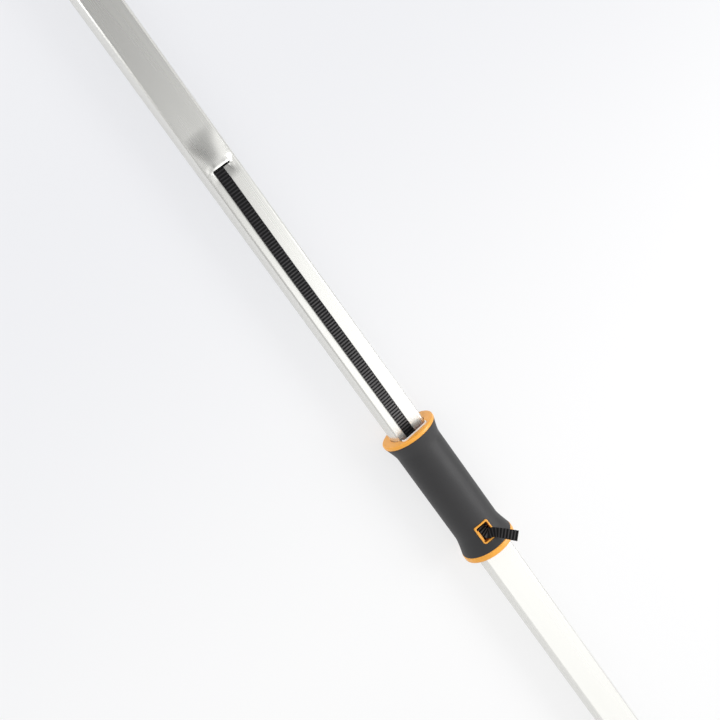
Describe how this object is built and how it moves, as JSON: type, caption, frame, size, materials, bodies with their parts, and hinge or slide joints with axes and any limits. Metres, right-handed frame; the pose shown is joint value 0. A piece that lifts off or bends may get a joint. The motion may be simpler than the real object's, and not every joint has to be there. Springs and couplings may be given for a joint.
{
  "type": "tree pruner pole",
  "caption": "Long-reach tree pruner: a grip sliding on a D-section pole pulls a webbing strap that turns a geared spool and swings a curved blade past a hook.",
  "frame": {"origin": "centre of the hang hole in the end knob, on the pole's axis", "axes": "+X along the pole towards the cutting head, +Z square to the flat strap face and along the hang hole"},
  "size_m": [1.478, 0.1204, 0.0677],
  "materials": {
    "pole_aluminium": "satin anodised, drawn lengthwise",
    "webbing": "ribbed woven webbing",
    "dark_plastic": "fine moulded texture",
    "orange_plastic": "semi-gloss moulded",
    "soft_grip": "matte soft-touch",
    "bush_plastic": "plain acetal",
    "bright_steel": "zinc plated",
    "blade_steel": "ground, dark coated",
    "brass": "turned"
  },
  "bodies": {
    "pole": {"pole_tube": "pole_aluminium", "strap_inner": "webbing", "end_knob": "dark_plastic", "hang_bush": "orange_plastic", "knob_rivet": "bright_steel", "neck": "dark_plastic", "neck_rivets": "bright_steel"},
    "grip": {"grip_core": "orange_plastic", "grip_sleeve": "soft_grip", "upper_bush": "bush_plastic", "lower_bush": "bush_plastic", "lock_bar": "blade_steel", "strap_run": "webbing", "strap_tail": "webbing"},
    "head": {"upper_cover": "dark_plastic", "lower_cover": "dark_plastic", "cover_screws": "bright_steel", "tilt_bolt": "bright_steel", "guide_bush": "bush_plastic", "strap_lead": "webbing", "spool_axle": "bright_steel", "hook": "blade_steel", "pivot_bolt": "bright_steel", "pivot_nut": "bright_steel", "pivot_washers": "brass", "return_spring": "bright_steel"},
    "spool": {"spool": "orange_plastic", "strap_wrap": "webbing"},
    "blade": {"blade": "blade_steel"},
    "tilt_clamp": {"tilt_knob": "orange_plastic", "knob_insert": "brass"}
  },
  "joints": [
    {"name": "grip_slide", "type": "slide", "parent": "pole", "child": "grip", "axis": [-1, 0, 0], "range_m": [0, 0.15], "stiffness_N_per_m": 40, "springref_m": -0.25, "deforming": ["strap_run"]},
    {"name": "head_tilt", "type": "hinge", "parent": "pole", "child": "head", "pos_m": [1.268, 0, 0], "axis": [0, 0, 1], "range_deg": [-60, 60]},
    {"name": "spool_spin", "type": "hinge", "parent": "head", "child": "spool", "pos_m": [1.322, 0, 0], "axis": [0, 0, 1], "range_deg": [0, 301]},
    {"name": "blade_swing", "type": "hinge", "parent": "head", "child": "blade", "pos_m": [1.367, 0, 0], "axis": [0, 0, 1], "range_deg": [-60.2, 0]},
    {"name": "knob_turn", "type": "hinge", "parent": "head", "child": "tilt_clamp", "pos_m": [1.268, 0, 0], "axis": [0, 0, 1], "continuous": true}
  ],
  "couplings": [
    {"joint": "spool_spin", "follows": "grip_slide", "rad_per_m": 34.965},
    {"joint": "blade_swing", "follows": "grip_slide", "rad_per_m": -6.993}
  ]
}
